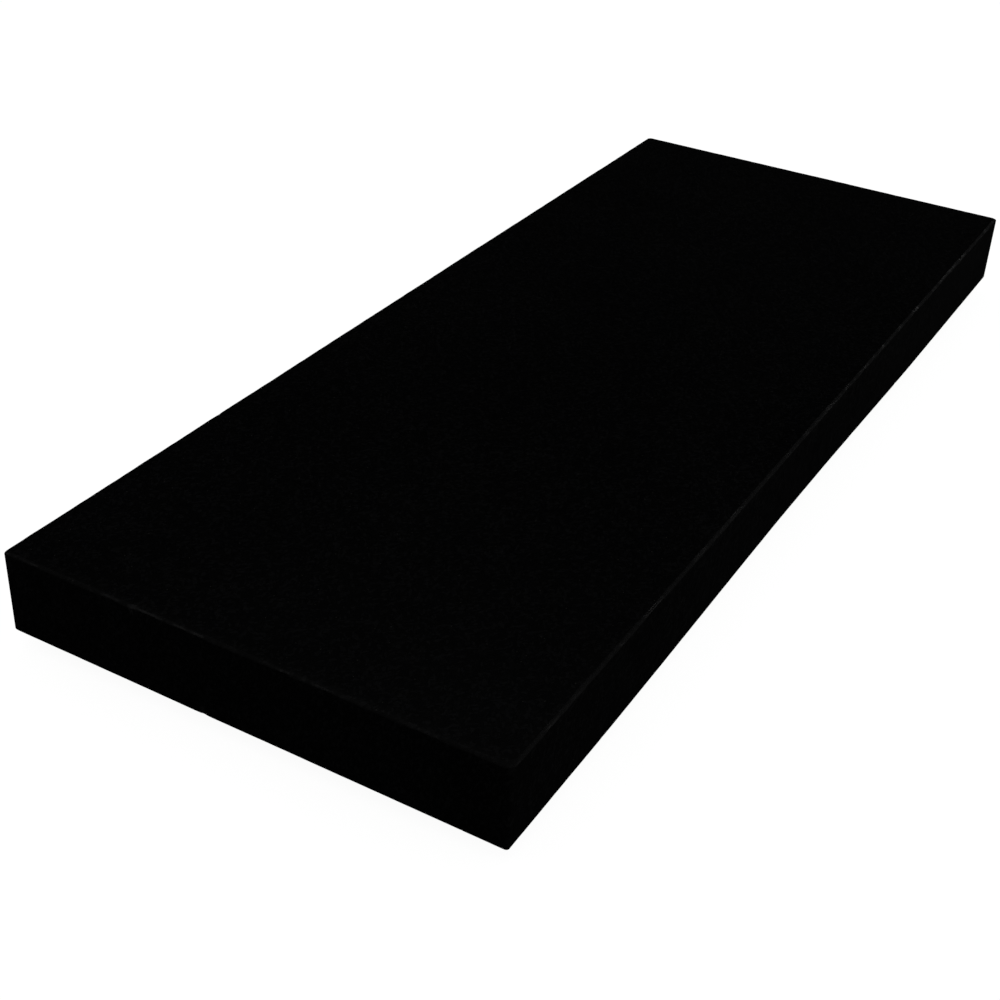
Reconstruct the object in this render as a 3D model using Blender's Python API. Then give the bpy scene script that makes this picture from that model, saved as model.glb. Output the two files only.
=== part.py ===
"""Granite slab for leatherwork, standing on four self-adhesive bumper feet.

The slab lies along X with its polished working face up (+Z). The origin is
under the middle of the slab, on the surface that the feet stand on, and -Y is
the front. Run it with blender --background --python part.py, or from
Blender's text editor.
"""

import math

import bmesh
import bpy

MM = 0.001

# The slab: a block sawn from stone of one stock thickness.
SLAB_LENGTH = 300 * MM
SLAB_WIDTH = 120 * MM
SLAB_THICKNESS = 20 * MM

# How far its sharp edges are eased: round the working face, at the four
# upright corners, and round the sawn underside.
FACE_EASING = 0.7 * MM
CORNER_EASING = 0.6 * MM
UNDERSIDE_EASING = 0.5 * MM
EASING_STEPS = 3

# A bumper foot: a short moulded plug, wider at the slab than at the bench.
FOOT_DIAMETER = 12.7 * MM
FOOT_HEIGHT = 3.0 * MM
FOOT_TAPER = 0.5 * MM  # all round, from the slab down to the bench
FOOT_TIP_ROUND = 0.5 * MM
FOOT_SIDES = 48
FOOT_ROUND_STEPS = 3

# A foot's centre, in from the two nearest sides of the slab.
FOOT_INSET_FROM_END = 20 * MM
FOOT_INSET_FROM_SIDE = 20 * MM

# The adhesive disc that holds a foot to the stone.
ADHESIVE_THICKNESS = 0.4 * MM
ADHESIVE_RIM = 0.3 * MM  # of the foot's top, left bare round the disc

# Left between two pieces that touch, so that their solids never meet.
TOUCH_GAP = 0.3 * MM

# Heights above the bench.
ADHESIVE_BOTTOM = FOOT_HEIGHT + TOUCH_GAP
SLAB_BOTTOM = ADHESIVE_BOTTOM + ADHESIVE_THICKNESS + TOUCH_GAP
SLAB_MIDDLE = SLAB_BOTTOM + SLAB_THICKNESS / 2

# Where the feet stand, by the names of the sides that they are nearest to.
FRONT_BACK = {"front": -1, "back": 1}
LEFT_RIGHT = {"left": -1, "right": 1}
FOOT_X = SLAB_LENGTH / 2 - FOOT_INSET_FROM_END
FOOT_Y = SLAB_WIDTH / 2 - FOOT_INSET_FROM_SIDE

SHARP_ANGLE = math.radians(35)


def clear_scene():
    """Remove whatever the scene holds."""
    for thing in list(bpy.data.objects):
        bpy.data.objects.remove(thing)


def new_material(name, colour, roughness, metallic=0.0):
    """A plain Principled material."""
    material = bpy.data.materials.new(name)
    material.use_nodes = True
    shader = material.node_tree.nodes["Principled BSDF"]
    shader.inputs["Base Color"].default_value = (*colour, 1.0)
    shader.inputs["Roughness"].default_value = roughness
    shader.inputs["Metallic"].default_value = metallic
    return material


def new_object(name, mesh, material, location, parent):
    """An object of its own for one piece, in its place under the parent."""
    piece = bpy.data.objects.new(name, mesh)
    if not mesh.materials:
        mesh.materials.append(material)
    piece.location = location
    piece.parent = parent
    bpy.context.scene.collection.objects.link(piece)
    return piece


def finished_mesh(name, shape, smooth):
    """The bmesh as a mesh, smooth apart from its sharp edges if it is round."""
    mesh = bpy.data.meshes.new(name)
    shape.to_mesh(mesh)
    shape.free()
    if smooth:
        mesh.shade_smooth()
        mesh.set_sharp_from_angle(angle=SHARP_ANGLE)
    return mesh


def easing_of(edge):
    """How far an edge of the sawn block is eased, by where it lies."""
    low, high = sorted(corner.co.z for corner in edge.verts)
    if high > low:
        return CORNER_EASING
    return FACE_EASING if low > 0 else UNDERSIDE_EASING


def make_slab(parent):
    """The stone: a sawn block whose edges a Bevel modifier eases."""
    block = bmesh.new()
    bmesh.ops.create_cube(block, size=1.0)
    bmesh.ops.scale(block, vec=(SLAB_LENGTH, SLAB_WIDTH, SLAB_THICKNESS), verts=block.verts)
    widest = max(FACE_EASING, CORNER_EASING, UNDERSIDE_EASING)
    share = block.edges.layers.float.new("bevel_weight_edge")
    for edge in block.edges:
        edge[share] = easing_of(edge) / widest
    stone = new_material("polished black granite", (0.012, 0.012, 0.013), 0.15)
    mesh = finished_mesh("granite_slab", block, smooth=False)
    slab = new_object("granite_slab", mesh, stone, (0, 0, SLAB_MIDDLE), parent)
    easing = slab.modifiers.new("eased edges", "BEVEL")
    easing.width = widest
    easing.segments = EASING_STEPS
    easing.limit_method = "WEIGHT"
    return slab


def plug_shape(diameter, height, taper=0.0):
    """A closed round plug from z = 0 up, narrower at the bottom by the taper all round."""
    plug = bmesh.new()
    bmesh.ops.create_cone(
        plug, cap_ends=True, segments=FOOT_SIDES, depth=height,
        radius1=diameter / 2 - taper, radius2=diameter / 2,
    )
    bmesh.ops.translate(plug, vec=(0, 0, height / 2), verts=plug.verts)
    return plug


def foot_mesh():
    """A bumper foot, with the edge that meets the bench rounded."""
    foot = plug_shape(FOOT_DIAMETER, FOOT_HEIGHT, FOOT_TAPER)
    half_height = FOOT_HEIGHT / 2
    tip_rim = [edge for edge in foot.edges if all(end.co.z < half_height for end in edge.verts)]
    bmesh.ops.bevel(
        foot, geom=tip_rim, offset=FOOT_TIP_ROUND, segments=FOOT_ROUND_STEPS,
        profile=0.5, affect="EDGES",
    )
    return finished_mesh("bumper_foot", foot, smooth=True)


def adhesive_mesh():
    """The thin disc between a foot and the stone."""
    disc = plug_shape(FOOT_DIAMETER - 2 * ADHESIVE_RIM, ADHESIVE_THICKNESS)
    return finished_mesh("adhesive_disc", disc, smooth=True)


def make_feet(parent):
    """The four feet and their adhesive discs, one near each corner."""
    rubber = new_material("black bumper rubber", (0.02, 0.02, 0.02), 0.6)
    glue = new_material("acrylic adhesive", (0.62, 0.61, 0.57), 0.5)
    foot, disc = foot_mesh(), adhesive_mesh()
    for depth_name, depth_side in FRONT_BACK.items():
        for length_name, length_side in LEFT_RIGHT.items():
            place = f"{depth_name}_{length_name}"
            x, y = length_side * FOOT_X, depth_side * FOOT_Y
            new_object(f"bumper_foot_{place}", foot, rubber, (x, y, 0), parent)
            new_object(f"adhesive_disc_{place}", disc, glue, (x, y, ADHESIVE_BOTTOM), parent)


def main():
    clear_scene()
    bench_point = bpy.data.objects.new("bench_point", None)
    bpy.context.scene.collection.objects.link(bench_point)
    make_slab(bench_point)
    make_feet(bench_point)


main()
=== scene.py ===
"""A leatherworker's granite slab: a block of polished black stone on four bumper feet.

The frame holds the plain solids. This script makes the stone and the feet
again as finely shaped pieces around it, with their finishes, and sets them on
a plain stage. It is laid out as an add-on and is run as a script.
"""

import math

import bpy
import numpy as np
from bpy.props import FloatProperty, FloatVectorProperty, IntProperty, PointerProperty
from bpy.types import Operator, Panel, PropertyGroup
from mathutils import Matrix, Vector


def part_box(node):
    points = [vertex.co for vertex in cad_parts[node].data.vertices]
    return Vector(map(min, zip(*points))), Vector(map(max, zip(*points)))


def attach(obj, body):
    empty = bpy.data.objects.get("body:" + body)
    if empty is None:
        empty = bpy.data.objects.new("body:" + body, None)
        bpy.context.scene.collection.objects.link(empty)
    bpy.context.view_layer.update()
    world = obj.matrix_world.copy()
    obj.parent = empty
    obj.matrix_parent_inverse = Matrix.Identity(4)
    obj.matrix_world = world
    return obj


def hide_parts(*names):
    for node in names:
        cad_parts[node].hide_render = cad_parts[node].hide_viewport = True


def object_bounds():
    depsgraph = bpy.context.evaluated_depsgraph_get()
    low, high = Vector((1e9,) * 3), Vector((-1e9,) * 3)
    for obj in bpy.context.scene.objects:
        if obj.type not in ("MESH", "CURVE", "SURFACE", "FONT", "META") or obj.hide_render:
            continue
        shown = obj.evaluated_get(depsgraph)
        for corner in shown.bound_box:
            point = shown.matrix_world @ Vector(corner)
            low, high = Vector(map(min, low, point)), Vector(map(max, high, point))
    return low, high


bl_info = {
    "name": "Granite slab",
    "version": (1, 0, 0),
    "blender": (4, 5, 0),
    "location": "3D View > Sidebar > Granite slab",
    "description": "Makes a leatherworker's polished granite slab with its bumper feet",
    "category": "Add Mesh",
}

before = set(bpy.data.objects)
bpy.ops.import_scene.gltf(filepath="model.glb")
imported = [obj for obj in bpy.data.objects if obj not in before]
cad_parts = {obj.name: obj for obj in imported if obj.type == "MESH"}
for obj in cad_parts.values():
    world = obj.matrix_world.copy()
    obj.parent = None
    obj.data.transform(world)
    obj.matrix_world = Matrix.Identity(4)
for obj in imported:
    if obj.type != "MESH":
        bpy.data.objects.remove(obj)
FRAME_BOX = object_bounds()
STONE_LOW, STONE_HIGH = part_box("granite_slab")
PLACES = ("front_left", "front_right", "back_left", "back_right")
FOOT_LOW, FOOT_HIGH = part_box("bumper_foot_front_left")
DISC_LOW, DISC_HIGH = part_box("adhesive_disc_front_left")

MM = 0.001


# ---------------------------------------------------------------- settings


def length(name, description, default, **more):
    """A setting that is a length in metres."""
    return FloatProperty(
        name=name, description=description, default=default, min=0.0, precision=5,
        subtype="DISTANCE", unit="LENGTH", **more,
    )


def share(name, description, default):
    """A setting from 0 to 1."""
    return FloatProperty(
        name=name, description=description, default=default, min=0.0, max=1.0, subtype="FACTOR",
    )


def colour(name, description, default):
    """A colour setting."""
    return FloatVectorProperty(
        name=name, description=description, default=default, size=3, min=0.0, max=1.0,
        subtype="COLOR",
    )


class StoneSettings(PropertyGroup):
    """The block of granite: how its edges are eased, its sawn marks and its colours."""

    face_easing: length("Face easing", "Width of the eased edge round the working face", 0.7 * MM)
    underside_easing: length("Underside easing", "Width of the eased edge below", 0.5 * MM)
    corner_radius: length("Corner radius", "Radius of the four upright corners", 0.6 * MM)
    dubbing: FloatProperty(
        name="Dubbing", description="How much the corners' radius grows with the easing's width",
        default=1.6, min=0.0, max=2.0,
    )
    corner_wear: length("Corner wear", "Radius that the front corner has gained at the face", 1.6 * MM)
    easing_wander: share("Easing wander", "How unevenly the edges were rubbed by hand", 0.3)
    chip_width: length("Chip width", "Half the width of the largest chip on an edge", 0.9 * MM)
    chip_depth: length("Chip depth", "Depth of the largest chip on an edge", 0.18 * MM)
    face_chips: IntProperty(name="Face chips", description="Chips round the face", default=6, min=0)
    underside_chips: IntProperty(
        name="Underside chips", description="Chips round the underside", default=16, min=0,
    )
    saw_wander: length("Saw wander", "How far the front's saw cut runs in at its foot", 0.7 * MM)
    ripple_pitch: length("Ripple pitch", "Distance between the saw's ripples below", 5.5 * MM)
    ripple_depth: length("Ripple depth", "Depth of the saw's ripples below", 0.09 * MM)
    grain: length("Grain", "Length of a typical crystal", 1.5 * MM)
    dark_crystal: colour("Dark crystal", "Colour of the dark crystals", (0.0025, 0.0026, 0.0028))
    pale_crystal: colour("Pale crystal", "Colour of the paler crystals", (0.0076, 0.0078, 0.0084))
    fleck: colour("Fleck", "Colour of the sparse bright flecks", (0.040, 0.039, 0.036))
    polish: share("Face roughness", "Roughness of the polished face", 0.12)
    seed: IntProperty(name="Seed", description="Seed of the edges' wander and chips", default=7)


class FootSettings(PropertyGroup):
    """The bumper feet and the adhesive discs that hold them."""

    tip_round: length("Tip round", "Radius of the edge that meets the bench", 0.5 * MM)
    taper: length("Taper", "How much narrower a foot is at the bench, all round", 0.5 * MM)
    dimple_radius: length("Dimple radius", "Radius of the moulded dimple in the tip", 2.2 * MM)
    dimple_depth: length("Dimple depth", "Depth of the moulded dimple", 0.18 * MM)
    rubber: colour("Rubber", "Colour of the feet", (0.016, 0.016, 0.017))
    adhesive: colour("Adhesive", "Colour of the adhesive discs", (0.50, 0.47, 0.40))


class StageSettings(PropertyGroup):
    """The pale floor, the soft lights and the camera."""

    floor: colour("Floor", "Colour of the floor", (0.5, 0.5, 0.5))
    glow: share("Floor glow", "Light that the floor gives of itself", 0.94)
    sky: FloatProperty(name="Sky", description="Strength of the even light", default=0.45, min=0.0)
    azimuth: FloatProperty(
        name="Azimuth", description="Where the camera stands round the slab",
        default=math.radians(-61.03), subtype="ANGLE",
    )
    elevation: FloatProperty(
        name="Elevation", description="How high the camera looks down from",
        default=math.radians(32.48), subtype="ANGLE",
    )
    roll: FloatProperty(
        name="Roll", description="How far the camera leans", default=math.radians(2.72),
        subtype="ANGLE",
    )
    distance: length("Distance", "From the camera to the face", 0.3537)
    lens: FloatProperty(
        name="Lens", description="Focal length in millimetres on a 36 mm frame", default=58.35,
        min=10.0,
    )


# ------------------------------------------------------------------ meshes


def new_mesh(name, points, face_groups):
    """A mesh from points and groups of faces, each an array of corners and its material's number."""
    mesh = bpy.data.meshes.new(name)
    corners = np.concatenate([faces.ravel() for faces, _ in face_groups])
    sizes = np.concatenate([np.full(len(faces), faces.shape[1]) for faces, _ in face_groups])
    finishes = np.concatenate([np.full(len(faces), finish) for faces, finish in face_groups])
    mesh.vertices.add(len(points))
    mesh.vertices.foreach_set("co", np.asarray(points, np.float32).ravel())
    mesh.loops.add(len(corners))
    mesh.loops.foreach_set("vertex_index", corners.astype(np.int32))
    mesh.polygons.add(len(sizes))
    starts = np.concatenate([[0], np.cumsum(sizes)[:-1]])
    mesh.polygons.foreach_set("loop_start", starts.astype(np.int32))
    mesh.polygons.foreach_set("material_index", finishes.astype(np.int32))
    mesh.update(calc_edges=True)
    mesh.shade_smooth()
    return mesh


def new_piece(name, mesh, materials, slot, *nodes):
    """The mesh as a piece of the object that stands for its plain solids."""
    piece = bpy.data.objects.new(name, mesh)
    bpy.context.scene.collection.objects.link(piece)
    for material in materials:
        mesh.materials.append(material)
    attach(piece, "root")
    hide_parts(*nodes)
    return piece


def band(grid):
    """Quads of a grid of point numbers whose rows go down and whose columns close into a ring."""
    here, below = grid[:-1], grid[1:]
    quads = [here, below, np.roll(below, -1, axis=1), np.roll(here, -1, axis=1)]
    return np.stack(quads, axis=-1).reshape(-1, 4)


def sheet_quads(grid):
    """Quads of an open grid of point numbers, facing up when its rows run in +Y."""
    quads = [grid[:-1, :-1], grid[:-1, 1:], grid[1:, 1:], grid[1:, :-1]]
    return np.stack(quads, axis=-1).reshape(-1, 4)


def rim(grid):
    """The point numbers round an open grid, counterclockwise from its first corner."""
    return np.concatenate([grid[0, :-1], grid[:-1, -1], grid[-1, :0:-1], grid[:0:-1, 0]])


def stitch(coarse, fine):
    """Triangles between a ring and one round it with a whole multiple of its points.

    Each coarse step is joined to its share of fine steps: the first half of
    them to its start, the rest to its end, and one triangle between the halves.
    """
    count, ratio = len(coarse), len(fine) // len(coarse)
    step = np.arange(count)[:, None]
    part = np.arange(ratio)[None, :]
    start = step * ratio + part
    anchor = (step + (part >= ratio // 2)) % count
    fans = np.stack([coarse[anchor], fine[start], fine[(start + 1) % len(fine)]], axis=-1)
    middle = fine[np.arange(count) * ratio + ratio // 2]
    keys = np.stack([coarse, middle, np.roll(coarse, -1)], axis=-1)
    return np.concatenate([fans.reshape(-1, 3), keys])


def ripple(distance, period, waves, random):
    """A smooth closed wave from -1 to 1 along a ring.

    It is a sum of cosines whose numbers of turns round the ring are given and
    whose phases are drawn at random, divided by its own largest value.
    """
    turns = np.asarray(waves)[:, None] * (distance / period)[None, :]
    phases = random.uniform(0.0, 1.0, (len(waves), 1))
    total = np.cos(2 * math.pi * (turns + phases)).sum(axis=0)
    return total / np.abs(total).max()


def smooth(value, low, high):
    """0 below low, 1 above high, and 3t^2 - 2t^3 between them."""
    part = np.clip((value - low) / (high - low), 0.0, 1.0)
    return part * part * (3.0 - 2.0 * part)


# ------------------------------------------------------------- stone shape

ARC_STEPS = 6  # half of an upright corner
LONG_STEPS = 600
SHORT_STEPS = 240
EASING_ROWS = 9
UNDERSIDE_ROWS = 5
SIDE_ROWS = 7
FACE_RATIO = 6  # edge columns to one step of the face's grid
UNDERSIDE_RATIO = 2
CAP_INSET = 2.6 * MM  # past the widest easing
EASING_POWER = 1.1  # 1 is a round edge, and 2 a straight chamfer
DEEPER_BELOW = 1.6  # depth of the underside's chips against the face's
POLISHED, EASED, HONED, SAWN = range(4)


class Outline:
    """The block's outline in plan, as columns that can be brought in by any inset.

    Each column has a place between the corners, from -1 to 1 on X and Y, and
    an outward direction. A corner's radius grows with the inset, and with the
    wear at the front left corner. A column's point is its place times the half
    size less inset and radius, plus the radius times its direction. The
    columns run counterclockwise from the middle of the front left corner, and
    each side is half a corner's turn, a straight run and half a turn.
    """

    def __init__(self, half_size, corner_radius, dubbing):
        self.half_size = np.array(half_size)
        self.corner_radius = corner_radius
        places, angles = [], []
        for number, steps in enumerate((LONG_STEPS, SHORT_STEPS, LONG_STEPS, SHORT_STEPS)):
            facing = math.radians(270 + 90 * number)
            outward = np.array([math.cos(facing), math.sin(facing)]).round()
            along = np.array([-outward[1], outward[0]])
            straight = steps - 2 * ARC_STEPS
            run = np.concatenate([
                np.full(ARC_STEPS, -1.0),
                np.linspace(-1.0, 1.0, straight, endpoint=False),
                np.full(ARC_STEPS, 1.0),
            ])
            turn = np.linspace(0.0, math.pi / 4, ARC_STEPS, endpoint=False)
            places.append(outward + run[:, None] * along)
            angles.append(facing + np.concatenate([turn - math.pi / 4, np.zeros(straight), turn]))
        self.places = np.concatenate(places)
        self.dubbing = dubbing
        self.worn = smooth(-self.places, -1.0, 1.0).prod(axis=1, keepdims=True)
        angles = np.concatenate(angles)
        self.directions = np.stack([np.cos(angles), np.sin(angles)], axis=-1)
        outer = self.points(np.zeros(len(self.places)))
        steps = np.linalg.norm(np.roll(outer, -1, axis=0) - outer, axis=1)
        self.distance = np.concatenate([[0.0], np.cumsum(steps)[:-1]])
        self.period = steps.sum()

    def points(self, inset, wear=0.0):
        """The columns' points in plan, each brought in by its own inset."""
        inset = inset[..., None]
        radius = self.corner_radius + self.dubbing * np.maximum(inset, 0.0) + self.worn * wear
        return self.places * (self.half_size - inset - radius) + radius * self.directions


def chips(outline, count, width, depth, random):
    """Depth of the chips along an edge: scoops whose section is half an ellipse."""
    centres = random.uniform(0.0, outline.period, (count, 1))
    sizes = random.uniform(0.35, 1.0, (count, 1)) ** 2
    away = outline.distance[None, :] - centres
    away = (away + outline.period / 2) % outline.period - outline.period / 2
    inside = np.clip(1.0 - (away / (width * np.sqrt(sizes))) ** 2, 0.0, None)
    return (depth * sizes * np.sqrt(inside)).max(axis=0, initial=0.0)


def eased_edge(outline, width, wander, scoops, random):
    """Width and height of a hand-rubbed edge along the outline: two slow waves and the scoops."""
    slow, quick = (2, 3, 5, 9, 14, 23), (31, 47, 76, 118, 171)
    waves = [
        0.6 * ripple(outline.distance, outline.period, slow, random)
        + 0.4 * ripple(outline.distance, outline.period, quick, random)
        for _ in range(2)
    ]
    return [width * (1.0 + wander * wave) + scoops for wave in waves]


def coons(ring, across, up):
    """A grid of points inside a closed ring, as a Coons patch.

    It is the blend of the front and back sides by height, plus the blend of
    the left and right sides by width, less the blend of the four corners.
    """
    front, right = ring[: across + 1], ring[across : across + up + 1]
    back = ring[across + up : 2 * across + up + 1][::-1]
    left = np.concatenate([ring[2 * across + up :], ring[:1]])[::-1]
    u = np.linspace(0.0, 1.0, across + 1)[None, :, None]
    v = np.linspace(0.0, 1.0, up + 1)[:, None, None]
    sides = (1 - v) * front[None] + v * back[None] + (1 - u) * left[:, None] + u * right[:, None]
    low = (1 - u) * front[0] + u * front[-1]
    high = (1 - u) * back[0] + u * back[-1]
    return sides - (1 - v) * low - v * high


def saw_hollow(points, height, depth):
    """How far the front's saw cut has run in: a long cosine hollow that deepens downwards."""
    centre, reach = -0.012, 0.105
    along = np.clip(np.abs(points[..., 0] - centre) / reach, 0.0, 1.0)
    front = smooth(-points[..., 1], 0.0, STONE_HIGH.y * 0.9)
    down = smooth(STONE_HIGH.z - height, 4 * MM, STONE_HIGH.z - STONE_LOW.z)
    return depth * front * down * (0.5 + 0.5 * np.cos(math.pi * along))


def saw_ripples(points, pitch, depth):
    """Rise of the sawn underside: arcs of a big blade's ripples, uneven in depth."""
    hub = np.array([0.55, -0.9])
    reach = np.linalg.norm(points - hub, axis=-1)
    beat = 0.6 + 0.4 * np.sin(2 * math.pi * reach / (pitch * 7.3) + 8.0 * points[..., 1])
    tooth = 0.5 + 0.5 * np.sin(2 * math.pi * reach / pitch + 1.2 * np.sin(37.0 * points[..., 0]))
    return depth * beat * tooth


def stone_mesh(settings):
    """The stone: a band of eased edges and sides carried round the outline, and two capped faces.

    Down the band each easing is a quarter of a superellipse. With the angle
    from the face, its inset is the width times 1 - sin^p and its drop is the
    height times 1 - cos^p.
    """
    random = np.random.default_rng(settings.seed)
    half_size = (STONE_HIGH.x, STONE_HIGH.y)
    outline = Outline(half_size, settings.corner_radius, settings.dubbing)
    face_scoops = chips(
        outline, settings.face_chips, settings.chip_width, settings.chip_depth, random
    )
    low_scoops = chips(
        outline, settings.underside_chips, settings.chip_width,
        settings.chip_depth * DEEPER_BELOW, random,
    )
    wander = settings.easing_wander
    face_width, face_drop = eased_edge(outline, settings.face_easing, wander, face_scoops, random)
    low_width, low_rise = eased_edge(
        outline, settings.underside_easing, wander, low_scoops, random
    )

    def quarter(rows):
        angle = np.linspace(0.0, math.pi / 2, rows)[:, None]
        return 1 - np.sin(angle) ** EASING_POWER, 1 - np.cos(angle) ** EASING_POWER

    inward, down = quarter(EASING_ROWS)
    low_inward, up = (part[::-1] for part in quarter(UNDERSIDE_ROWS))
    part = np.linspace(0.0, 1.0, SIDE_ROWS + 2)[1:-1, None]
    top, bottom = STONE_HIGH.z - face_drop, STONE_LOW.z + low_rise
    inset = np.concatenate([
        inward * face_width,
        np.zeros((SIDE_ROWS, len(outline.distance))),
        low_inward * low_width,
    ])
    height = np.concatenate([
        STONE_HIGH.z - down * face_drop,
        top * (1 - part) + bottom * part,
        STONE_LOW.z + up * low_rise,
    ])
    wear = settings.corner_wear * smooth(height, STONE_LOW.z, STONE_HIGH.z)[..., None]
    inset = inset + saw_hollow(outline.points(inset), height, settings.saw_wander)
    edge = np.dstack([outline.points(inset, wear), height])

    caps = []
    for ratio, level in ((FACE_RATIO, STONE_HIGH.z), (UNDERSIDE_RATIO, STONE_LOW.z)):
        wear = settings.corner_wear if ratio == FACE_RATIO else 0.0
        ring = outline.points(np.full(len(outline.distance), CAP_INSET), wear)[::ratio]
        plan = coons(ring, LONG_STEPS // ratio, SHORT_STEPS // ratio)
        rise = 0.0 if ratio == FACE_RATIO else saw_ripples(
            plan, settings.ripple_pitch, settings.ripple_depth
        )
        caps.append(np.dstack([plan, level + np.zeros(plan.shape[:2]) + rise]))
    face, underside = caps

    def numbered(grid, first):
        return first + np.arange(grid.shape[0] * grid.shape[1]).reshape(grid.shape[:2])

    edge_ids = numbered(edge, 0)
    face_ids = numbered(face, edge_ids.size)
    low_ids = numbered(underside, edge_ids.size + face_ids.size)
    points = np.concatenate([grid.reshape(-1, 3) for grid in (edge, face, underside)])
    side_end = EASING_ROWS + SIDE_ROWS
    groups = [
        (sheet_quads(face_ids), POLISHED),
        (stitch(rim(face_ids), edge_ids[0]), POLISHED),
        (band(edge_ids[:EASING_ROWS]), EASED),
        (band(edge_ids[EASING_ROWS - 1 : side_end + 1]), HONED),
        (band(edge_ids[side_end:]), EASED),
        (stitch(rim(low_ids), edge_ids[-1])[:, ::-1], SAWN),
        (sheet_quads(low_ids)[:, ::-1], SAWN),
    ]
    mesh = new_mesh("granite_slab_stone", points, groups)
    bruise = np.zeros(len(points), np.float32)
    deepest = settings.chip_depth
    bruise[edge_ids[:EASING_ROWS]] = np.clip(face_scoops / deepest, 0.0, 1.0)
    bruise[edge_ids[side_end:]] = np.clip(low_scoops / deepest, 0.0, 1.0)
    mesh.attributes.new("bruise", "FLOAT", "POINT").data.foreach_set("value", bruise)
    return mesh


# -------------------------------------------------------------- foot shapes

TURN_STEPS = 96
POLE_RING = 0.3 * MM  # radius of the ring next to a pole
DISC_WOBBLE = 0.008  # how far a disc's radius strays, as a share of it


def turned(name, radii, heights, centre, wobble=None):
    """A closed turned piece: its profile from the lower pole to the upper one, carried round.

    A point is the centre plus radius times (1 + wobble) in the direction of
    its angle, at the profile's height. The first and last heights are the poles'.
    """
    angle = np.arange(TURN_STEPS) * (2 * math.pi / TURN_STEPS)
    swell = 1.0 if wobble is None else 1.0 + wobble
    reach = np.asarray(radii)[:, None] * swell * np.ones(TURN_STEPS)
    x, y = centre[0] + reach * np.cos(angle), centre[1] + reach * np.sin(angle)
    z = np.repeat(np.asarray(heights[1:-1])[:, None], TURN_STEPS, axis=1)
    ring = np.dstack([x, y, z])
    poles = [(centre[0], centre[1], heights[0]), (centre[0], centre[1], heights[-1])]
    ids = np.arange(ring.shape[0] * TURN_STEPS).reshape(ring.shape[:2])
    low, high = ids.size, ids.size + 1
    walls = band(ids[::-1])
    fans = [
        np.stack([np.full(TURN_STEPS, low), np.roll(ids[0], -1), ids[0]], axis=-1),
        np.stack([np.full(TURN_STEPS, high), ids[-1], np.roll(ids[-1], -1)], axis=-1),
    ]
    points = np.concatenate([ring.reshape(-1, 3), poles])
    return new_mesh(name, points, [(walls, 0), (fans[0], 0), (fans[1], 0)])


def arc(centre_r, centre_z, radius, start, end, steps=8):
    """Points of a turned profile round part of a circle, in degrees from straight out."""
    angle = np.radians(np.linspace(start, end, steps))
    return centre_r + radius * np.cos(angle), centre_z + radius * np.sin(angle)


def foot_profile(settings):
    """Half of a foot's section: dimpled tip, rounded edge, drafted wall and flat top."""
    base = (FOOT_HIGH.x - FOOT_LOW.x) / 2
    tip = base - settings.taper
    bottom, top = FOOT_LOW.z, FOOT_HIGH.z
    dimple = np.linspace(0.05, 1.0, 8)
    dimple_r = settings.dimple_radius * dimple
    dimple_z = bottom + settings.dimple_depth * (1 - smooth(dimple, 0.7, 1.0))
    flat_r = np.linspace(settings.dimple_radius, tip - settings.tip_round, 6)[1:-1]
    tip_r, tip_z = arc(
        tip - settings.tip_round, bottom + settings.tip_round, settings.tip_round, -90, -5
    )
    part = np.linspace(0.0, 1.0, 8)[1:-1]
    shoulder = 0.15 * MM
    top_r, top_z = arc(base - shoulder, top - shoulder, shoulder, 5, 90, steps=5)
    wall_r = tip_r[-1] + (top_r[0] - tip_r[-1]) * part
    wall_z = tip_z[-1] + (top_z[0] - tip_z[-1]) * part
    inner_r = np.linspace(base - shoulder, POLE_RING, 5)[1:]
    radii = np.concatenate([dimple_r, flat_r, tip_r, wall_r, top_r, inner_r])
    heights = np.concatenate([
        dimple_z, np.full(len(flat_r), bottom), tip_z, wall_z, top_z, np.full(len(inner_r), top),
    ])
    return radii, np.concatenate([[bottom + settings.dimple_depth], heights, [top]])


def disc_profile():
    """Half of an adhesive disc's section: it fills the bond, and its edge bulges a little."""
    radius = (DISC_HIGH.x - DISC_LOW.x) / 2
    slack = 0.03 * MM
    bottom, top = FOOT_HIGH.z + slack, STONE_LOW.z - slack
    half = (top - bottom) / 2
    edge_r, edge_z = arc(0.0, 0.0, 1.0, -80, 80, steps=9)
    edge_r = radius - half * 0.5 + half * 0.5 * edge_r
    edge_z = bottom + half + half * edge_z / edge_z[-1]
    inner = np.linspace(POLE_RING, radius - half, 5)
    radii = np.concatenate([inner, edge_r, inner[::-1]])
    heights = np.concatenate([
        [bottom], np.full(len(inner), bottom), edge_z, np.full(len(inner), top), [top],
    ])
    return radii, heights


# --------------------------------------------------------------- materials

STONE_IOR = 1.54
FLECK_PITCH = 1.1 * MM  # between the places where a fleck can lie
TORN_STONE = (0.015, 0.015, 0.016)  # the bruised inside of a chip
STREAK_LENGTH = 50 * MM  # of a scratch in the polish


class Number:
    """A number's socket in a node tree, on which + - * and > add Math nodes."""

    def __init__(self, graph, socket):
        self.graph = graph
        self.socket = socket

    def math(self, operation, *values):
        return self.graph.node("ShaderNodeMath", {"operation": operation}, dict(enumerate(values)))

    def __add__(self, other):
        return self.math("ADD", self, other)

    __radd__ = __add__

    def __sub__(self, other):
        return self.math("SUBTRACT", self, other)

    def __rsub__(self, other):
        return self.math("SUBTRACT", other, self)

    def __mul__(self, other):
        return self.math("MULTIPLY", self, other)

    __rmul__ = __mul__

    def __gt__(self, other):
        return self.math("GREATER_THAN", self, other)


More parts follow.
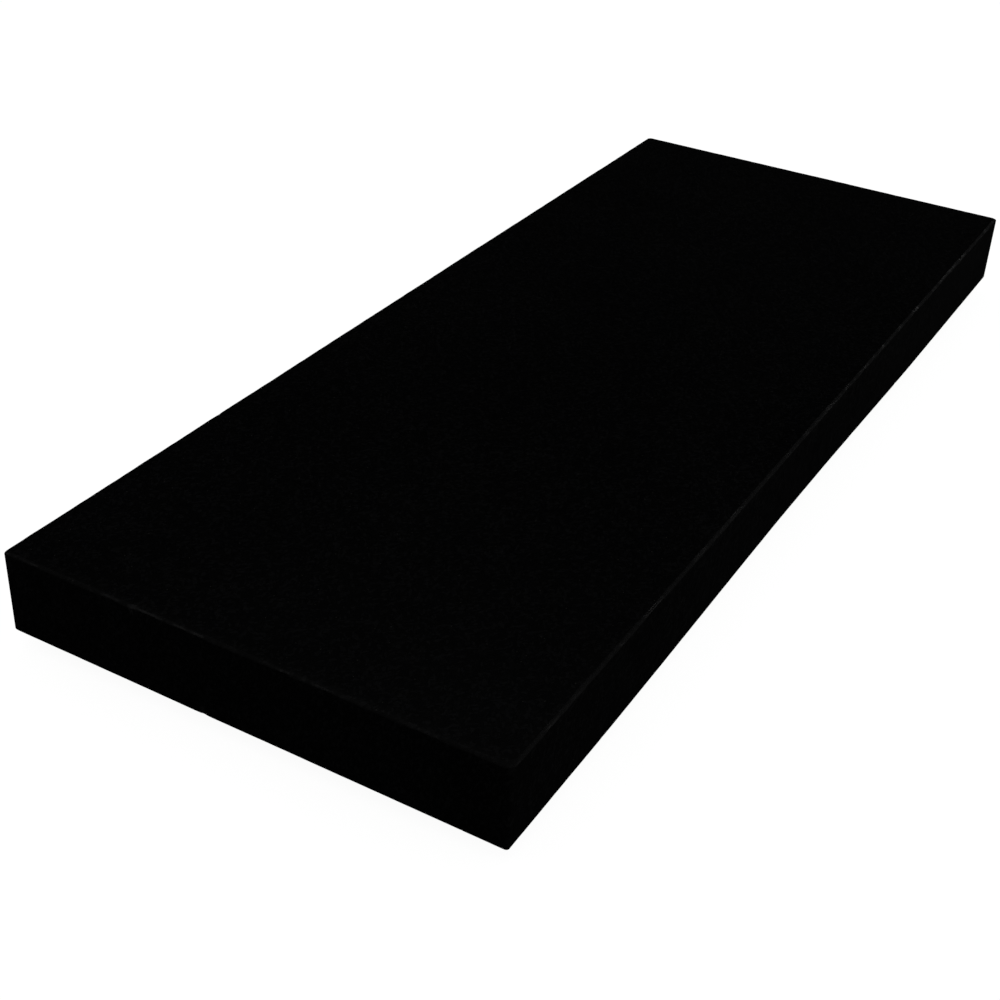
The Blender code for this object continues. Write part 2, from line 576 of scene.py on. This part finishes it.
class Graph:
    """A node tree that is written as expressions."""

    def __init__(self, tree):
        self.tree = tree
        tree.nodes.clear()

    def node(self, kind, settings=None, values=None, out=0):
        """A node of a type: its settings are set first, then its sockets' values or links.

        A socket is named by its name, its identifier or its number.
        """
        node = self.tree.nodes.new(kind)
        for name, value in (settings or {}).items():
            setattr(node, name, value)
        for key, value in (values or {}).items():
            socket = self.find(node.inputs, key)
            if isinstance(value, Number):
                self.tree.links.new(value.socket, socket)
            else:
                socket.default_value = value
        if not len(node.outputs):
            return node
        return Number(self, self.find(node.outputs, out))

    @staticmethod
    def find(sockets, key):
        """The socket with a number, an identifier, or the name of one that is in use."""
        if isinstance(key, int):
            return sockets[key]
        for socket in sockets:
            if key == socket.identifier or (key == socket.name and socket.enabled):
                return socket
        raise KeyError(f"{key} isn't a socket here")

    def mix(self, factor, a, b):
        """Colour a where the factor is 0, and b where it is 1."""
        return self.node(
            "ShaderNodeMix", {"data_type": "RGBA"},
            {"Factor_Float": factor, "A_Color": a, "B_Color": b}, out="Result_Color",
        )

    def scale_colour(self, value, factor):
        """The colour times a number."""
        return self.node(
            "ShaderNodeVectorMath", {"operation": "SCALE"}, {"Vector": value, "Scale": factor},
        )

    def steps(self, value, low, high):
        """The value eased from 0 at low to 1 at high."""
        return self.node(
            "ShaderNodeMapRange", {"interpolation_type": "SMOOTHSTEP"},
            {"Value": value, "From Min": low, "From Max": high, "To Min": 0.0, "To Max": 1.0},
        )

    def mapped(self, vector, turn=(0, 0, 0), stretch=(1, 1, 1)):
        """The place turned by degrees, then stretched."""
        turned_place = self.node(
            "ShaderNodeMapping", {},
            {"Vector": vector, "Rotation": tuple(math.radians(a) for a in turn)},
        )
        return self.node("ShaderNodeMapping", {}, {"Vector": turned_place, "Scale": stretch})

    def noise(self, vector, size, detail=2.0, rough=0.5, out="Fac"):
        """Soft noise whose lumps are about a size in metres."""
        values = {"Vector": vector, "Scale": 1.0 / size, "Detail": detail, "Roughness": rough}
        return self.node("ShaderNodeTexNoise", {}, values, out=out)

    def principled(self, **values):
        """A Principled shader and the output that it feeds."""
        named = {name.replace("_", " "): value for name, value in values.items()}
        shader = self.node("ShaderNodeBsdfPrincipled", {}, named)
        self.node("ShaderNodeOutputMaterial", {}, {"Surface": shader})

    def bump(self, height, distance, strength=1.0):
        """The surface's normal over a height from 0 to 1 that is a distance in metres."""
        values = {"Height": height, "Distance": distance, "Strength": strength}
        return self.node("ShaderNodeBump", {}, values)


def new_material(name):
    """An empty material and its graph, with its place in the object's own metres."""
    material = bpy.data.materials.new(name)
    material.use_nodes = True
    graph = Graph(material.node_tree)
    place = graph.node("ShaderNodeTexCoord", {}, {}, out="Object")
    return material, graph, place


def opaque(shade, level=1.0):
    """A colour setting as a socket's four numbers."""
    return (*(part * level for part in shade), 1.0)


def crystals(graph, place, settings):
    """The stone's own pattern: a mosaic of interlocking laths, and sparse bright flecks.

    Two sets of stretched cells lie in different directions, a soft noise
    chooses between them, and each cell's random number decides how pale it is.
    It gives the colour, and how pale each crystal is from 0 to 1.
    """
    drift = graph.noise(place, settings.grain * 1.4, detail=3.0, out="Color")
    drift = graph.node("ShaderNodeVectorMath", {"operation": "SUBTRACT"}, {0: drift, 1: (0.5,) * 3})
    drift = graph.node(
        "ShaderNodeVectorMath", {"operation": "SCALE"}, {0: drift, "Scale": settings.grain * 0.7}
    )
    bent = graph.node("ShaderNodeVectorMath", {"operation": "ADD"}, {0: place, 1: drift})
    laths = []
    for turn in ((24, 38, 52), (-51, 17, -33)):
        stretch = (1.0 / settings.grain, 3.1 / settings.grain, 1.8 / settings.grain)
        cell = graph.node(
            "ShaderNodeTexVoronoi", {}, {"Vector": graph.mapped(bent, turn, stretch), "Scale": 1.0},
            out="Color",
        )
        laths.append(graph.node("ShaderNodeSeparateColor", {}, {"Color": cell}))
    choice = graph.steps(graph.noise(bent, settings.grain * 1.1, detail=1.0), 0.48, 0.52)
    lath = laths[0] + (laths[1] - laths[0]) * choice
    pale = graph.steps(lath, 0.5, 1.0)
    cloud = graph.noise(place, 0.035, detail=3.0)
    cells = {"Vector": place, "Scale": 1.0 / FLECK_PITCH}
    spots = graph.node("ShaderNodeTexVoronoi", {}, cells, out="Distance")
    chosen = graph.node("ShaderNodeTexVoronoi", {}, cells, out="Color")
    chosen = graph.node("ShaderNodeSeparateColor", {}, {"Color": chosen})
    fleck = (1.0 - graph.steps(spots, 0.07, 0.16)) * (chosen > 0.9)
    ground = graph.mix(pale, opaque(settings.dark_crystal), opaque(settings.pale_crystal))
    ground = graph.scale_colour(ground, 0.7 + 0.6 * cloud)
    return graph.mix(fleck, ground, opaque(settings.fleck)), pale


def polished_stone(settings):
    """The working face: a close polish that only pits and hairline scratches break."""
    material, graph, place = new_material("polished_granite")
    shade, pale = crystals(graph, place, settings)
    haze = graph.noise(place, 0.022, detail=4.0, rough=0.6)
    lines = []
    for turn, size in ((31, 0.55 * MM), (-48, 0.8 * MM), (83, 0.7 * MM)):
        stretch = (1.0 / STREAK_LENGTH, 1.0 / size, 1.0 / STREAK_LENGTH)
        streaks = graph.mapped(place, (0, 0, turn), stretch)
        lines.append(graph.steps(graph.noise(streaks, 1.0, detail=1.0), 0.75, 0.79))
    scratch = lines[0] + lines[1] + lines[2]
    pit = graph.steps(graph.noise(place, 0.9 * MM, detail=2.0), 0.70, 0.76)
    rough = settings.polish + 0.07 * haze + 0.04 * pale + 0.12 * pit + 0.05 * scratch
    relief = graph.bump(0.5 - 0.4 * pit - 0.12 * scratch + 0.08 * pale, 0.008 * MM)
    graph.principled(
        Base_Color=shade, Roughness=rough, Normal=relief, IOR=STONE_IOR, Specular_IOR_Level=0.5,
    )
    return material


def worn_stone(name, settings, level, rough, patchy, marks, depth, specular):
    """Stone that was ground but not polished: duller, in patches, and bruised where it is chipped.

    The level is how much paler it is than the polish, the marks are its tool's
    relief and the depth is how deep that goes.
    """
    material, graph, place = new_material(name)
    shade, pale = crystals(graph, place, settings)
    bruise = graph.node("ShaderNodeAttribute", {"attribute_name": "bruise"}, {}, out="Fac")
    broken = graph.noise(place, 0.5 * MM, detail=3.0)
    torn = graph.steps(bruise * (0.6 + 0.8 * broken), 0.2, 0.6)
    shade = graph.scale_colour(shade, level * (0.75 + 0.5 * broken))
    shade = graph.mix(torn, shade, opaque(TORN_STONE))
    height = marks(graph, place)
    patch = graph.steps(graph.noise(place, 7.1 * MM, detail=3.0, rough=0.6), 0.38, 0.52)
    dull = rough + patchy * patch + 0.12 * broken + 0.08 * pale + 0.25 * torn
    relief = graph.bump(height + 0.3 * broken, depth)
    graph.principled(
        Base_Color=shade, Roughness=dull, Normal=relief, IOR=STONE_IOR, Specular_IOR_Level=specular,
    )
    return material


def rubbed_marks(graph, place):
    """Strokes of a hand stone: uneven flats one to a few millimetres long."""
    flats = graph.noise(place, 1.6 * MM, detail=2.0, rough=0.6)
    return flats + 1.6 * graph.noise(place, 5.0 * MM, detail=1.0)


def honed_marks(graph, place):
    """Fine upright strokes of the edge grinder."""
    strokes = graph.mapped(place, (0, 0, 0), (1.0 / (0.6 * MM), 1.0 / (0.6 * MM), 1.0 / 0.02))
    return graph.noise(strokes, 1.0, detail=3.0) + 0.25 * graph.noise(place, 7 * MM, detail=1.0)


def sawn_marks(graph, place):
    """Fine grooves along the blade's arcs, and torn grains between them."""
    grooves = graph.mapped(place, (0, 0, -58), (1.0 / 0.03, 1.0 / (0.9 * MM), 1.0 / 0.03))
    torn = graph.noise(place, 0.8 * MM, detail=4.0, rough=0.7)
    return graph.noise(grooves, 1.0, detail=3.0) + 0.8 * torn


def rubber_material(settings):
    """Moulded rubber: dull, finely stippled, a little dusty."""
    material, graph, place = new_material("bumper_rubber")
    stipple = graph.noise(place, 0.28 * MM, detail=2.0)
    patch = graph.noise(place, 3.0 * MM, detail=3.0, rough=0.6)
    dust = graph.steps(patch, 0.55, 0.8)
    shade = graph.mix(dust * 0.5, opaque(settings.rubber), opaque(settings.rubber, 2.6))
    shade = graph.scale_colour(shade, 0.85 + 0.3 * stipple)
    rough = 0.5 + 0.12 * stipple + 0.14 * dust
    relief = graph.bump(stipple + 0.4 * patch, 0.05 * MM, 0.6)
    graph.principled(
        Base_Color=shade, Roughness=rough, Normal=relief, Specular_IOR_Level=0.4,
    )
    return material


def adhesive_material(settings):
    """Foam adhesive: pale, open-celled, darker where grime has settled in its edge."""
    material, graph, place = new_material("adhesive_foam")
    cells = graph.node(
        "ShaderNodeTexVoronoi", {}, {"Vector": place, "Scale": 1.0 / (0.22 * MM)}, out="Distance"
    )
    grime = graph.steps(graph.noise(place, 1.6 * MM, detail=4.0, rough=0.65), 0.42, 0.72)
    shade = graph.mix(grime * 0.6, opaque(settings.adhesive), opaque(settings.adhesive, 0.35))
    shade = graph.scale_colour(shade, 0.8 + 0.35 * cells)
    relief = graph.bump(cells + 0.3 * grime, 0.06 * MM, 0.7)
    graph.principled(
        Base_Color=shade, Roughness=0.62 + 0.2 * grime, Normal=relief, Specular_IOR_Level=0.3,
    )
    return material


# ------------------------------------------------------------------- stage


def floor_material(settings):
    """A pale table that is lit a little from within, so that shadows stay faint on it."""
    material, graph, _ = new_material("pale_floor")
    graph.principled(
        Base_Color=opaque(settings.floor), Roughness=0.9, Specular_IOR_Level=0.0,
        Emission_Color=(1.0, 1.0, 1.0, 1.0), Emission_Strength=settings.glow,
    )
    return material


def make_floor(settings):
    """A wide square floor at the height of the feet."""
    corners = np.array([(-1, -1), (1, -1), (1, 1), (-1, 1)]) * FLOOR_REACH
    points = np.column_stack([corners, np.full(4, FRAME_BOX[0].z)])
    mesh = new_mesh("floor", points, [(np.array([[0, 1, 2, 3]]), 0)])
    floor = bpy.data.objects.new("floor", mesh)
    mesh.materials.append(floor_material(settings))
    bpy.context.scene.collection.objects.link(floor)
    floor.visible_glossy = False
    floor.visible_diffuse = False


def make_world():
    """The room: pale where the camera sees it.

    To all else it is dark, with a band of light low round the walls and a
    faint one overhead.
    """
    world = bpy.data.worlds.new("room")
    world.use_nodes = True
    bpy.context.scene.world = world
    graph = Graph(world.node_tree)
    seen = graph.node("ShaderNodeLightPath", {}, {}, out="Is Camera Ray")
    pale = graph.node("ShaderNodeBackground", {}, {"Color": (1, 1, 1, 1), "Strength": 1.0})
    towards = graph.node("ShaderNodeTexCoord", {}, {}, out="Generated")
    height = graph.node("ShaderNodeSeparateXYZ", {}, {"Vector": towards}, out="Z")
    walls = graph.steps(height, -0.06, 0.02) * (1.0 - graph.steps(height, 0.06, 0.2))
    glimmer = 0.002 + 0.03 * graph.steps(height, 0.5, 0.95) + 0.09 * walls
    dim = graph.node("ShaderNodeBackground", {}, {"Color": (1, 1, 1, 1), "Strength": glimmer})
    both = graph.node("ShaderNodeMixShader", {}, {0: seen, 1: dim, 2: pale})
    graph.node("ShaderNodeOutputWorld", {}, {"Surface": both})


FLOOR_REACH = 6.0
AIM = Vector((-0.0765, -0.0143, STONE_HIGH.z))
SOFTBOXES = {
    # name: direction from the slab (azimuth from +X, elevation), distance, width, brightness
    "softbox_right": ((-22, 42), 1.2, 0.10, 2.0),
    "softbox_far": ((-14, 20), 1.2, 0.06, 2.4),
    "softbox_left": ((137, 26), 1.2, 0.8, 0.11),
    "softbox_low": ((-66, 15), 1.2, 0.6, 0.3),
    "softbox_front": ((-96, 4), 1.2, 0.5, 0.6),
    "softbox_end": ((-6, 1), 1.2, 0.36, 0.6),
}


def make_lights(settings):
    """An even light from all over the sky, and softboxes that the polish and the edges mirror.

    A softbox is square and faces the slab, and its brightness is what a mirror would show.
    """
    light = bpy.data.lights.new("sky_light", "SUN")
    light.angle = math.radians(150)
    light.energy = settings.sky
    sky = bpy.data.objects.new("sky_light", light)
    sky.visible_glossy = False
    bpy.context.scene.collection.objects.link(sky)
    for name, ((azimuth, elevation), distance, width, bright) in SOFTBOXES.items():
        turn, rise = math.radians(azimuth), math.radians(elevation)
        towards = Vector((
            math.cos(turn) * math.cos(rise), math.sin(turn) * math.cos(rise), math.sin(rise),
        ))
        light = bpy.data.lights.new(name, "AREA")
        light.shape = "SQUARE"
        light.size = width
        light.energy = bright * math.pi * width * width
        softbox = bpy.data.objects.new(name, light)
        softbox.location = towards * distance
        softbox.rotation_euler = towards.to_track_quat("Z", "Y").to_euler()
        bpy.context.scene.collection.objects.link(softbox)


def make_camera(settings):
    """The camera, turned by azimuth, elevation and roll, and aimed at a point on the face."""
    turn, rise, roll = settings.azimuth, settings.elevation, settings.roll
    back = Vector((
        math.sin(turn) * math.cos(rise), -math.cos(turn) * math.cos(rise), math.sin(rise),
    ))
    right = Vector((math.cos(turn), math.sin(turn), 0.0))
    upright = Matrix((right, back.cross(right), back)).transposed().to_4x4()
    data = bpy.data.cameras.new("camera")
    data.lens = settings.lens
    data.clip_start = 0.01
    camera = bpy.data.objects.new("camera", data)
    camera.matrix_world = (
        Matrix.Translation(AIM + settings.distance * back)
        @ upright
        @ Matrix.Rotation(roll, 4, "Z")
    )
    bpy.context.scene.collection.objects.link(camera)
    bpy.context.scene.camera = camera


# --------------------------------------------------------------- operators


class GRANITE_OT_stone(Operator):
    """Make the block of polished granite"""

    bl_idname = "granite.stone"
    bl_label = "Stone"

    def execute(self, context):
        settings = context.scene.granite_stone
        finishes = [
            polished_stone(settings),
            worn_stone(
                "rubbed_granite_edge", settings, level=1.0, rough=0.18, patchy=0.55,
                marks=rubbed_marks, depth=0.16 * MM, specular=0.5,
            ),
            worn_stone(
                "honed_granite_side", settings, level=1.0, rough=0.34, patchy=0.05,
                marks=honed_marks, depth=0.02 * MM, specular=0.35,
            ),
            worn_stone(
                "sawn_granite_underside", settings, level=4.5, rough=0.55, patchy=0.10,
                marks=sawn_marks, depth=0.10 * MM, specular=0.35,
            ),
        ]
        new_piece("granite_slab_stone", stone_mesh(settings), finishes, "granite", "granite_slab")
        return {"FINISHED"}


class GRANITE_OT_feet(Operator):
    """Make the four bumper feet"""

    bl_idname = "granite.feet"
    bl_label = "Bumper feet"

    def execute(self, context):
        settings = context.scene.granite_feet
        rubber = rubber_material(settings)
        radii, heights = foot_profile(settings)
        for place in PLACES:
            low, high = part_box(f"bumper_foot_{place}")
            mesh = turned(f"rubber_bumper_{place}", radii, heights, (low + high) / 2)
            new_piece(mesh.name, mesh, [rubber], "bumper_rubber", f"bumper_foot_{place}")
        return {"FINISHED"}


class GRANITE_OT_adhesive(Operator):
    """Make the adhesive discs between the feet and the stone"""

    bl_idname = "granite.adhesive"
    bl_label = "Adhesive discs"

    def execute(self, context):
        foam = adhesive_material(context.scene.granite_feet)
        radii, heights = disc_profile()
        random = np.random.default_rng(context.scene.granite_stone.seed)
        round_once = np.arange(TURN_STEPS) / TURN_STEPS
        for place in PLACES:
            low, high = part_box(f"adhesive_disc_{place}")
            wobble = DISC_WOBBLE * ripple(round_once, 1.0, (2, 3, 5, 8), random)
            mesh = turned(f"foam_disc_{place}", radii, heights, (low + high) / 2, wobble)
            new_piece(mesh.name, mesh, [foam], "adhesive", f"adhesive_disc_{place}")
        return {"FINISHED"}


class GRANITE_OT_stage(Operator):
    """Make the pale floor, the soft lights and the camera"""

    bl_idname = "granite.stage"
    bl_label = "Stage"

    def execute(self, context):
        settings = context.scene.granite_stage
        make_floor(settings)
        make_world()
        make_lights(settings)
        make_camera(settings)
        context.scene.view_settings.view_transform = "Standard"
        return {"FINISHED"}


class GRANITE_PT_panel(Panel):
    """The slab's pieces in the sidebar"""

    bl_idname = "GRANITE_PT_panel"
    bl_label = "Granite slab"
    bl_space_type = "VIEW_3D"
    bl_region_type = "UI"
    bl_category = "Granite slab"

    def draw(self, context):
        for operator in OPERATORS:
            self.layout.operator(operator.bl_idname)
        for name in SETTINGS:
            group = getattr(context.scene, name)
            column = self.layout.column(align=True)
            for field in group.bl_rna.properties.keys():
                if field not in {"rna_type", "name"}:
                    column.prop(group, field)


OPERATORS = (GRANITE_OT_stone, GRANITE_OT_feet, GRANITE_OT_adhesive, GRANITE_OT_stage)
SETTINGS = {
    "granite_stone": StoneSettings,
    "granite_feet": FootSettings,
    "granite_stage": StageSettings,
}
CLASSES = (*SETTINGS.values(), *OPERATORS, GRANITE_PT_panel)


def register():
    for kind in CLASSES:
        bpy.utils.register_class(kind)
    for name, kind in SETTINGS.items():
        setattr(bpy.types.Scene, name, PointerProperty(type=kind))


def unregister():
    for name in SETTINGS:
        delattr(bpy.types.Scene, name)
    for kind in reversed(CLASSES):
        bpy.utils.unregister_class(kind)


def main():
    register()
    bpy.ops.granite.stone()
    bpy.ops.granite.feet()
    bpy.ops.granite.adhesive()
    bpy.ops.granite.stage()


if __name__ == "__main__":
    main()
